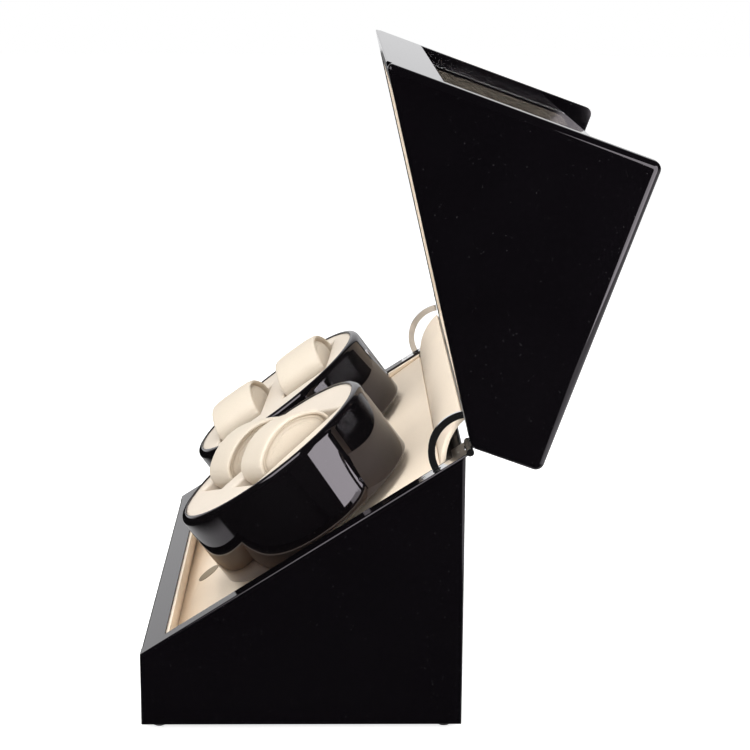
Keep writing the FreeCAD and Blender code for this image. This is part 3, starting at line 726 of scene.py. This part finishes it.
@dataclass
class Rotor:
    """One rotor: a gloss cup, a padded insert with two wells, and a watch cushion in each well."""

    side: Side
    cup_wall: float = 5.2 * MM
    cup_lip: float = 4.6 * MM
    cup_floor: float = 4 * MM
    cup_edge: float = 1.5 * MM
    cup_small: float = 0.3 * MM
    cup_steps: int = 10
    boss_radius: float = 13 * MM
    bore: float = 3 * MM
    well_length: float = 39 * MM
    well_width: float = 78 * MM
    well_round: float = 1.8 * MM
    well_slope: float = 0.4 * MM
    pad_crown: float = 0.5 * MM
    pad_thick: float = 2 * MM
    crown_reach: float = 8 * MM
    grid_step: float = 2.5 * MM
    grid_gap: float = 0.6 * MM
    round_shares: tuple = (0, 0.25, 0.5, 0.7, 0.85, 0.95)
    slope_shares: tuple = (0, 0.5, 1)
    slack: float = 0.2 * MM
    wall_slack: float = 0.1 * MM
    axes: Axes = field(init=False)
    pitch: float = field(init=False)

    def __post_init__(self) -> None:
        """Take the spindle from the joint, and the line of the cushions from their solids."""
        spin = joint(f"rotor_{self.side.value}_spin")
        spindle = np.array(spin["axis"])
        lower, upper = (node_points(self.cushion_node(end)).mean(0) for end in End)
        line = upper - lower
        line = line - spindle * (line @ spindle)
        self.pitch = float(np.linalg.norm(line))
        along = line / self.pitch
        self.axes = Axes(np.array(spin["pos_m"]), along, np.cross(spindle, along), spindle)

    def cushion_node(self, end: End) -> str:
        """Name of one cushion's solid."""
        return f"watch_cushion_{self.side.value}_{end.value}"

    def build(self) -> None:
        """Build the cup, the insert and both cushions."""
        dress(f"drive_shaft_{self.side.value}", Slot.MOTOR)
        self.build_cup()
        self.build_insert()
        for end, sign in ((End.LOWER, -1), (End.UPPER, 1)):
            middle = self.axes.world(np.array([sign * self.pitch / 2, 0, 0]))
            axes = Axes(middle, self.axes.x, self.axes.y, self.axes.z)
            WatchCushion(self.cushion_node(end), f"cushion_{self.side.value}_{end.value}", axes).build()

    def build_cup(self) -> None:
        """Turn the cup's section: boss, floor, wall and a full round lip."""
        node = f"rotor_cup_{self.side.value}"
        local = self.axes.local(node_points(node))
        reach = np.hypot(local[:, 0], local[:, 1])
        radius = reach.max()
        top = local[:, 2].max()
        boss_low = local[:, 2].min()
        low = local[reach > radius - self.wall_slack, 2].min()
        inner = radius - self.cup_wall
        corners = np.array([
            (self.bore, boss_low), (self.boss_radius, boss_low), (self.boss_radius, low), (radius, low),
            (radius, top), (inner, top), (inner, low + self.cup_floor), (self.bore, low + self.cup_floor),
        ])
        small = self.cup_small
        radii = np.array([small, small, small, self.cup_edge, self.cup_lip, small, small, small])
        section = rounded(corners, radii, self.cup_steps)
        cup = joined(f"cup_{self.side.value}_shell", (swept(section, self.axes), True))
        finish_piece(cup, f"rotor_{self.side.value}", Slot.CUP, node)

    def build_insert(self) -> None:
        """Cover the insert: a disc on a grid whose height drops into the two wells.

        With inset the distance inside a well's outline, the height falls along a quarter circle up to the
        outline, then down a steep wall to the well's floor. Grid points outside the disc are drawn in to its
        rim.
        """
        node = f"rotor_insert_{self.side.value}"
        local = self.axes.local(node_points(node))
        radius = np.hypot(local[:, 0], local[:, 1]).max()
        top = local[:, 2].max()
        half_length, half_width = self.well_length / 2, self.well_width / 2
        off = np.abs(np.abs(local[:, 0]) - self.pitch / 2)
        inside = (off < half_length + self.slack) & (np.abs(local[:, 1]) < half_width + self.slack)
        depth = top - local[inside, 2].min()
        a, w = np.meshgrid(self.lines(radius, self.pitch / 2, half_length),
                           self.lines(radius, 0, half_width), indexing="ij")
        shape = a.shape
        out = np.hypot(a, w) > radius
        pull = np.where(out, radius / np.maximum(np.hypot(a, w), radius), 1.0)
        a, w = a * pull, w * pull
        inset = np.minimum(half_length - np.abs(np.abs(a) - self.pitch / 2), half_width - np.abs(w))
        bend = np.clip(inset + self.well_round, 0, self.well_round)
        drop = self.well_round - np.sqrt(self.well_round ** 2 - bend ** 2)
        wall = np.clip(inset / self.well_slope, 0, 1)
        drop = drop + wall * (depth - self.well_round)
        crown = self.pad_crown * (np.clip(-inset / self.crown_reach, 0, 1) ** 0.5 - 1)
        height = top - drop + crown * (inset < 0) - self.pad_crown * (inset >= 0)
        faces = quads(*shape, False, False)
        faces = faces[~out.ravel()[faces].all(1)]
        used, faces = np.unique(faces, return_inverse=True)
        faces = faces.reshape(-1, 4).tolist()
        points = self.axes.world(np.stack([a, w, height], axis=-1)).reshape(-1, 3)[used]
        pad = new_piece(f"insert_{self.side.value}_cover", points, faces, outward=False)
        skin = pad.modifiers.new("thickness", "SOLIDIFY")
        skin.thickness = self.pad_thick
        skin.offset = -1
        finish_piece(pad, f"rotor_{self.side.value}", Slot.INSERT, node)

    def lines(self, radius: float, centre: float, half: float) -> Array:
        """Grid lines across the insert: even ones, and close ones at the wells' edges.

        Args:
            radius: the insert's radius.
            centre: distance of a well's middle from the rotor's.
            half: half of the well's size.

        Returns:
            The places of the lines, in order.
        """
        inner = np.array(self.round_shares) * self.well_round - self.well_round
        near = np.concatenate([inner, np.array(self.slope_shares) * self.well_slope])
        edges = np.concatenate([sign * (centre + half - near) for sign in (-1, 1)])
        if centre:
            edges = np.concatenate([edges, *[sign * (centre - half + near) for sign in (-1, 1)]])
        regular = np.arange(-radius, radius + self.grid_step, self.grid_step)
        apart = np.abs(regular[:, None] - edges).min(1) > self.grid_gap
        return np.unique(np.concatenate([regular[apart], edges]).round(7))


@dataclass
class WatchCushion:
    """A padded oval band that a watch is strapped round, with a soft core whose ends are sunk panels.

    The oval has four arcs: with n the outward normal at an angle, a point is the arc's centre plus its
    radius times n. The arc is a flat one where n is steep, and an end one elsewhere. The rings of a panel
    lie at inner and outer shares of the oval, each given as first, last and count.
    """

    node: str
    body: str
    axes: Axes
    wall: float = 3.4 * MM
    end_radius: float = 13 * MM
    edge_round: float = 1.5 * MM
    edge_steps: int = 8
    crown: float = 1.2 * MM
    crown_power: int = 4
    pucker: float = 0.08 * MM
    pucker_pitch: float = 4.5 * MM
    pucker_reach: float = 6 * MM
    spacing: float = 0.6 * MM
    around: int = 200
    lap: float = 0.3 * MM
    panel_edge: float = 4.5 * MM
    panel_middle: float = 1.6 * MM
    panel_power: int = 9
    seam_depth: float = 0.5 * MM
    seam_at: float = 0.90
    seam_width: float = 0.018
    crease_depth: float = 0.45 * MM
    crease_at: float = 0.74
    crease_width: float = 0.03
    inner_shares: tuple = (0.03, 0.6, 14)
    outer_shares: tuple = (0.62, 1, 44)

    def build(self) -> None:
        shells = ((self.axes.world(self.band()), True), (self.axes.world(self.core()), False))
        pad = finish_piece(joined(f"{self.body}_pad", *shells), self.body, Slot.CUSHION, self.node)

    def sizes(self) -> tuple[float, float, float, float]:
        """Half sizes of the solid and the height of its middle, in the cushion's frame."""
        local = self.axes.local(node_points(self.node))
        low, high = local.min(0), local.max(0)
        half, wide, tall = (high - low) / 2
        return half, wide, tall, (high[2] + low[2]) / 2

    def oval(self) -> tuple[Array, Array, Array]:
        """The oval's arcs, one entry for each angle of its outward normal.

        Returns:
            Centres, radii and normals of the arcs.
        """
        _, wide, tall, _ = self.sizes()
        end = self.end_radius
        flat = (wide ** 2 + tall ** 2 - 2 * wide * end) / (2 * (tall - end))
        angle = np.linspace(0, 2 * math.pi, self.around, endpoint=False)
        normal = np.stack([np.cos(angle), np.sin(angle)], axis=1)
        steep = np.abs(normal[:, 1]) > (flat - tall) / (flat - end)
        centre = np.stack([np.where(steep, 0, np.sign(normal[:, 0]) * (wide - end)),
                           np.where(steep, -np.sign(normal[:, 1]) * (flat - tall), 0)], axis=1)
        return centre, np.where(steep, flat, end), normal

    def section(self, half: float) -> Array:
        """The band's section, along its length and inwards from its outer face, with round drawn-in edges.

        Args:
            half: half of the band's length.

        Returns:
            Points, two columns.
        """
        corners = np.array([(-half, 0), (half, 0), (half, -self.wall), (-half, -self.wall)])
        outline = even(rounded(corners, np.full(4, self.edge_round), self.edge_steps), self.spacing)
        length, depth = outline.T
        outer = (depth + self.wall) / self.wall
        drawn_in = self.crown * outer * np.abs(length / half) ** self.crown_power
        return np.stack([length, depth - drawn_in], axis=1)

    def band(self) -> Array:
        """Points of the band: its section at each angle of the oval, puckered a little along both edges.

        Returns:
            (angles, section points, 3).
        """
        half, _, _, middle = self.sizes()
        centre, radius, normal = self.oval()
        outline = centre + radius[:, None] * normal
        steps = np.linalg.norm(outline - np.roll(outline, 1, axis=0), axis=1)
        count = round(steps.sum() / self.pucker_pitch)
        phase = np.cumsum(steps) / steps.sum() * 2 * math.pi * count
        length, depth = self.section(half).T
        near_edge = np.clip((np.abs(length) - half + self.pucker_reach) / self.pucker_reach, 0, 1)
        near_edge = near_edge * (depth > -self.wall / 2)
        reach = radius[:, None] + depth + self.pucker * np.sin(phase)[:, None] * near_edge
        across = centre[:, :1] + reach * normal[:, :1]
        up = middle + centre[:, 1:] + reach * normal[:, 1:]
        return np.stack([length + 0 * across, across, up], axis=-1)

    def core(self) -> Array:
        """Points of the core: ovals that grow from the middle of one end panel to the band and shrink again.

        At a share of the band's inner oval the panel lies deeper by a high power of the share, with a round
        seam close to the band and a soft crease along the upper half.

        Returns:
            (steps, angles, 3).
        """
        half, _, _, middle = self.sizes()
        centre, radius, normal = self.oval()
        inner = centre + (radius - self.wall + self.lap)[:, None] * normal
        share = np.concatenate([np.linspace(*self.inner_shares), np.linspace(*self.outer_shares)])[:, None]
        sink = self.panel_middle + (self.panel_edge - self.panel_middle) * share ** self.panel_power
        sink = sink + self.seam_depth * np.exp(-((share - self.seam_at) / self.seam_width) ** 2)
        rise = np.clip(normal[:, 1], 0, 1)
        sink = sink + self.crease_depth * rise * np.exp(-((share - self.crease_at) / self.crease_width) ** 2)
        flat = share[..., None] * inner
        ends = [np.concatenate([sign * (half - sink)[..., None], flat], axis=-1) for sign in (1, -1)]
        rows = np.concatenate([ends[0], ends[1][::-1]])
        return rows + np.array([0, 0, middle])


# Fasteners, hinges and flap

@dataclass
class Screws:
    """Cross-slotted screws with low domed heads."""

    radius: float = 1.9 * MM
    rise: float = 0.55 * MM
    sink: float = 0.3 * MM
    slot: float = 0.55 * MM
    slot_reach: float = 1.15 * MM
    slot_depth: float = 0.4 * MM
    around: int = 48
    start: float = 0.06
    circles: int = 15

    def build(self, name: str, body: str, slot: Slot, seats: list[Axes]) -> None:
        """Set a head on each seat, all in one piece.

        Args:
            name: the piece's name.
            body: the body that they move with.
            slot: their material slot.
            seats: frames whose z axes stand on the seats.
        """
        heads = [(seat.world(self.head()), False) for seat in seats]
        finish_piece(joined(name, *heads), body, slot)

    def head(self) -> Array:
        """Points of a head: a flat ellipse of height over radius, less a cross of two slots, down to a rim.

        Returns:
            (circles, points on each, 3).
        """
        share = np.append(np.linspace(self.start, 1, self.circles), 1.0)[:, None]
        angle = np.linspace(0, 2 * math.pi, self.around, endpoint=False)
        x, y = self.radius * share * np.cos(angle), self.radius * share * np.sin(angle)
        height = self.rise * np.sqrt(np.clip(1 - share ** 2, 0, 1)) + 0 * angle
        narrow = np.minimum(np.abs(x), np.abs(y)) < self.slot / 2
        height = height - self.slot_depth * (narrow & (np.hypot(x, y) < self.slot_reach))
        height[-1] = -self.sink
        return np.stack([x, y, height], axis=-1)


@dataclass
class Hinges:
    """The two quadrant hinges, their screws and the leatherette flap that covers the gap between them."""

    rim_slope: float = math.radians(32.78)
    lid_open: float = math.radians(109.8)
    spots: tuple = ((-5 * MM, -33.5 * MM), (-15 * MM, -7.5 * MM), (-23 * MM, -7.5 * MM))
    screw_rise: float = 0.18 * MM
    slot_share: float = 0.85
    leaf_end: float = 5 * MM
    flap_round: float = 0.6 * MM
    flap_tuck: float = 1.2 * MM
    flap_spacing: float = 0.5 * MM
    flap_margin: float = 5 * MM
    flap_rows: int = 60
    end_shares: tuple = (0, 0.3, 0.7, 1)

    def build(self) -> None:
        """Dress the hinges, add their screws and build the flap."""
        for side in Side:
            for part in ("hinge_base_leaf", "hinge_lid_leaf", "hinge_pin", "hinge_stay"):
                dress(f"{part}_{side.value}", Slot.CHROME)
            self.build_screws(side)
        self.build_flap()

    def build_screws(self, side: Side) -> None:
        """Screw both leaves of one hinge down.

        The spots are the same distances from the hinge line and the leaf's outer end on both. The heads are
        nearly flush, so that those of the two leaves clear each other when the lid is shut.

        Args:
            side: the hinge's side.
        """
        pivot = np.array(joint("lid_hinge")["pos_m"])
        across = np.array([1.0, 0, 0])
        flip = -1 if side is Side.LEFT else 1
        for part, body, tilt, face in (("base", "base", self.rim_slope, 1),
                                       ("lid", "lid", self.rim_slope - self.lid_open, -1)):
            along = np.array([0, math.cos(tilt), math.sin(tilt)])
            out = face * np.array([0, -math.sin(tilt), math.cos(tilt)])
            points = node_points(f"hinge_{part}_leaf_{side.value}")
            end = np.abs(points[:, 0]).max() * flip
            reach = (points - pivot) @ along
            level = ((points - pivot) @ out)[reach < reach.min() + self.leaf_end].max()
            seats = [Axes(pivot + (end + flip * x) * across + y * along + level * out, across, along, out)
                     for x, y in self.spots]
            flush = Screws(rise=self.screw_rise, slot_depth=self.slot_share * self.screw_rise)
            flush.build(f"{part}_leaf_screws_{side.value}", body, Slot.CHROME, seats)

    def build_flap(self) -> None:
        """Carry the flap's section along the hinge axis.

        The section is a strip with round edges, bent on a circle that is fitted to the solid's points: a
        point at a distance along the strip lies at that distance over the radius round the circle. The lower
        edge is tucked in against the deck.
        """
        points = node_points("hinge_flap")
        y, z = points[:, 1], points[:, 2]
        terms = np.stack([2 * y, 2 * z, np.ones_like(y)], axis=1)
        fit = np.linalg.lstsq(terms, y ** 2 + z ** 2, rcond=None)[0]
        reach = np.hypot(y - fit[0], z - fit[1])
        radius = (reach.min() + reach.max()) / 2
        thick = reach.max() - reach.min()
        middle = math.atan2(z.mean() - fit[1], y.mean() - fit[0])
        angle = (np.arctan2(z - fit[1], y - fit[0]) - middle + math.pi) % (2 * math.pi) - math.pi
        start, stop = angle.min() * radius, angle.max() * radius
        if math.sin(middle + start / radius) < math.sin(middle + stop / radius):
            start = start - self.flap_tuck
        else:
            stop = stop + self.flap_tuck
        corners = np.array([(start, -thick / 2), (stop, -thick / 2), (stop, thick / 2), (start, thick / 2)])
        section = even(rounded(corners, np.full(4, self.flap_round)), self.flap_spacing)
        half = points[:, 0].max()
        ends = np.array(self.end_shares) * self.flap_round
        between = np.linspace(-half + self.flap_margin, half - self.flap_margin, self.flap_rows)
        x = np.concatenate([-half + ends, between, half - ends[::-1]])
        inset = np.clip(1 - (half - np.abs(x)) / self.flap_round, 0, 1)
        shrink = self.flap_round * (1 - np.sqrt(1 - inset ** 2))[:, None]
        out = section[:, 1] * (1 - shrink / thick)
        turn = middle + section[:, 0] * (1 - shrink / (stop - start)) / radius
        rows = np.stack([x[:, None] + 0 * out, fit[0] + (radius + out) * np.cos(turn),
                         fit[1] + (radius + out) * np.sin(turn)], axis=-1)
        flap = finish_piece(joined("hinge_flap_cover", (rows, False)), "flap", Slot.LINING, "hinge_flap")


# Controls and drives

@dataclass
class Controls:
    """The panel on the back with its switches, screws and power inlet, the card and the drives inside."""

    screw_inset: float = 4.5 * MM

    def build(self) -> None:
        """Dress the controls and the drives, and screw the panel to the back."""
        for node in ("control_panel", "power_inlet"):
            dress(node, Slot.PLASTIC)
        dress("circuit_card", Slot.CARD)
        for side in Side:
            for part in ("mode_lever", "mode_switch", "gear_case"):
                dress(f"{part}_{side.value}", Slot.PLASTIC)
            dress(f"drive_motor_{side.value}", Slot.MOTOR)
        low, high = (np.array(corner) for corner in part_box("control_panel"))
        across, back, up = np.eye(3)
        places = [(x, high[1], z) for x in (low[0] + self.screw_inset, high[0] - self.screw_inset)
                  for z in (low[2] + self.screw_inset, high[2] - self.screw_inset)]
        seats = [Axes(np.array(place), across, up, back) for place in places]
        Screws().build("control_panel_screws", "base", Slot.PLASTIC, seats)


# Studio

@dataclass
class Studio:
    """Camera at the photograph's angle, soft lamps, a pale floor and a white surround."""

    stand: tuple = (1.35935, 0.02199, 0.50976)
    yaw: float = -0.02
    pitch: float = 0.229
    roll: float = 0.006
    focal_px: float = 1978.77
    image_px: int = 750
    sensor_mm: float = 36.0
    near_clip: float = 0.05
    ambient: float = 0.3
    eye_white: Colour = (1.0, 1.0, 1.0)
    backdrop: Colour = (0.83, 0.83, 0.84)
    floor_pale: Colour = (0.78, 0.78, 0.78)
    dark: Colour = (0.01, 0.01, 0.01)
    backdrop_edge: tuple = (-0.92, -0.70)
    floor_half: float = 6.0
    near_edge: tuple = (0.165, 0.180)
    front_edge: tuple = (-0.175, -0.155)
    back_edge: tuple = (0.36, 0.44)
    far_edge: tuple = (0.9, 1.1)
    under_share: float = 0.6
    eye_glow: float = 0.8
    gloss_glow: float = 0.25

    def build(self) -> None:
        """Build the camera, the world, the floor and the lamps."""
        bpy.context.scene.view_settings.view_transform = "Standard"
        self.build_camera()
        self.build_world()
        self.build_floor()
        self.lamp("front_softbox", (0.35, -0.85, 1.35), (0.9, 0.7), 5.5)
        self.lamp("edge_softbox", (0.35, -0.85, 1.35), (0.9, 0.7), 22.0, lights=False)
        self.lamp("side_softbox", (0.42, 0.42, 0.34), (0.32, 0.44), 1.8)
        self.lamp("top_fill", (0.05, -0.25, 1.60), (1.2, 1.0), 13.5, shows=False)
        self.lamp("front_fill", (0.60, -1.10, 0.62), (1.2, 0.8), 6.0, shows=False)
        self.lamp("camera_fill", (1.25, 0.40, 0.72), (0.8, 0.8), 8.0, shows=False)

    def build_camera(self) -> None:
        """Place the camera by its stand, two angles and a small roll about the line of sight."""
        level = math.cos(self.pitch)
        ahead = -np.array([math.cos(self.yaw) * level, math.sin(self.yaw) * level, math.sin(self.pitch)])
        right = np.cross(ahead, (0, 0, 1))
        right = right / np.linalg.norm(right)
        up = np.cross(right, ahead)
        keep, lean = math.cos(self.roll), math.sin(self.roll)
        turned_right = keep * right + lean * up
        turned_up = keep * up - lean * right
        data = bpy.data.cameras.new("camera")
        data.sensor_width = self.sensor_mm
        data.lens = self.focal_px / self.image_px * self.sensor_mm
        data.clip_start = self.near_clip
        camera = bpy.data.objects.new("camera", data)
        turn = np.eye(4)
        turn[:3] = np.column_stack([turned_right, turned_up, -ahead, self.stand])
        camera.matrix_world = Matrix(turn.tolist())
        bpy.context.scene.collection.objects.link(camera)
        bpy.context.scene.camera = camera

    def seen(self, graph: Graph) -> Wire:
        """One for rays from the eye, straight or through glass, and nothing for the rest."""
        camera = graph.node("ShaderNodeLightPath", "Is Camera Ray", {}, {})
        glass = graph.node("ShaderNodeLightPath", "Is Transmission Ray", {}, {})
        return graph.math("MAXIMUM", camera, glass * (1.0 - self.bounced(graph)))

    def bounced(self, graph: Graph) -> Wire:
        """One for rays that have come off gloss."""
        return graph.node("ShaderNodeLightPath", "Glossy Depth", {}, {}).step(0.0, 1.0)

    def build_world(self) -> None:
        """White to the eye, grey as light, and for gloss a pale backdrop opposite the camera, else dark."""
        world = bpy.data.worlds.new("surround")
        world.use_nodes = True
        bpy.context.scene.world = world
        graph = Graph(world.node_tree)
        gloss = self.bounced(graph)
        where = graph.node("ShaderNodeTexCoord", "Generated", {}, {})
        away = graph.node("ShaderNodeSeparateXYZ", "X", {}, {"Vector": where})
        plain = graph.blend(gloss, (self.ambient,) * 3, self.dark)
        mirrored = graph.blend(gloss * (1.0 - away.step(*self.backdrop_edge)), plain, self.backdrop)
        colour = graph.blend(self.seen(graph), mirrored, self.eye_white)
        graph.end("ShaderNodeOutputWorld", graph.node("ShaderNodeBackground", 0, {}, {"Color": colour}))

    def build_floor(self) -> None:
        """A large pale floor that keeps the shadow and looks white.

        For gloss it is white behind the object, less so under it and on its far side, and dark in front of
        it and on its near side.
        """
        half = self.floor_half
        corners = np.array([(-half, -half, 0), (half, -half, 0), (half, half, 0), (-half, half, 0)])
        floor = new_piece("floor", corners, [[0, 1, 2, 3]], outward=False)
        made = bpy.data.materials.new("pale_floor")
        made.use_nodes = True
        graph = Graph(made.node_tree)
        where = graph.node("ShaderNodeTexCoord", "Object", {}, {})
        x, y = (graph.node("ShaderNodeSeparateXYZ", axis, {}, {"Vector": where}) for axis in "XY")
        under = (1.0 - x.step(*self.near_edge)) * y.step(*self.front_edge)
        behind = y.step(*self.back_edge) * (1.0 - x.step(*self.far_edge))
        white = graph.math("MAXIMUM", self.under_share * under, behind)
        gloss = self.bounced(graph)
        share = self.eye_glow * self.seen(graph) + self.gloss_glow * gloss * white
        pale = graph.blend(gloss * (1.0 - white), self.floor_pale, self.dark)
        matt = graph.node("ShaderNodeBsdfDiffuse", 0, {}, {"Color": pale})
        glow = graph.node("ShaderNodeEmission", 0, {}, {"Color": (*self.eye_white, 1.0), "Strength": share})
        graph.end("ShaderNodeOutputMaterial", graph.node("ShaderNodeAddShader", 0, {}, {0: matt, 1: glow}))
        floor.data.materials.append(made)

    def lamp(self, name: str, place: tuple, size: tuple, power: float, shows: bool = True,
             lights: bool = True) -> None:
        """A rectangular soft lamp aimed at the middle of the object.

        Args:
            name: the lamp's name.
            place: where it hangs.
            size: its two sides.
            power: its power, in watts.
            shows: gloss mirrors the lamp.
            lights: matt surfaces are lit by the lamp.
        """
        data = bpy.data.lights.new(name, "AREA")
        data.shape = "RECTANGLE"
        data.size, data.size_y = size
        data.energy = power
        lamp = bpy.data.objects.new(name, data)
        low, high = CAD_BOX
        middle = (np.array(low) + np.array(high)) / 2
        back = np.array(place) - middle
        back = back / np.linalg.norm(back)
        side = np.cross((0, 0, 1), back)
        side = side / np.linalg.norm(side)
        turn = np.eye(4)
        turn[:3] = np.column_stack([side, np.cross(back, side), back, place])
        lamp.matrix_world = Matrix(turn.tolist())
        lamp.visible_glossy = shows
        lamp.visible_diffuse = lights
        lamp.visible_camera = False
        bpy.context.scene.collection.objects.link(lamp)


def main() -> None:
    """Build the studio and the pieces in order."""
    logging.basicConfig(level=logging.INFO, format="%(message)s")
    Studio().build()
    Case().build()
    for side in Side:
        Rotor(side).build()
    Hinges().build()
    Controls().build()


if __name__ == "__main__":
    main()
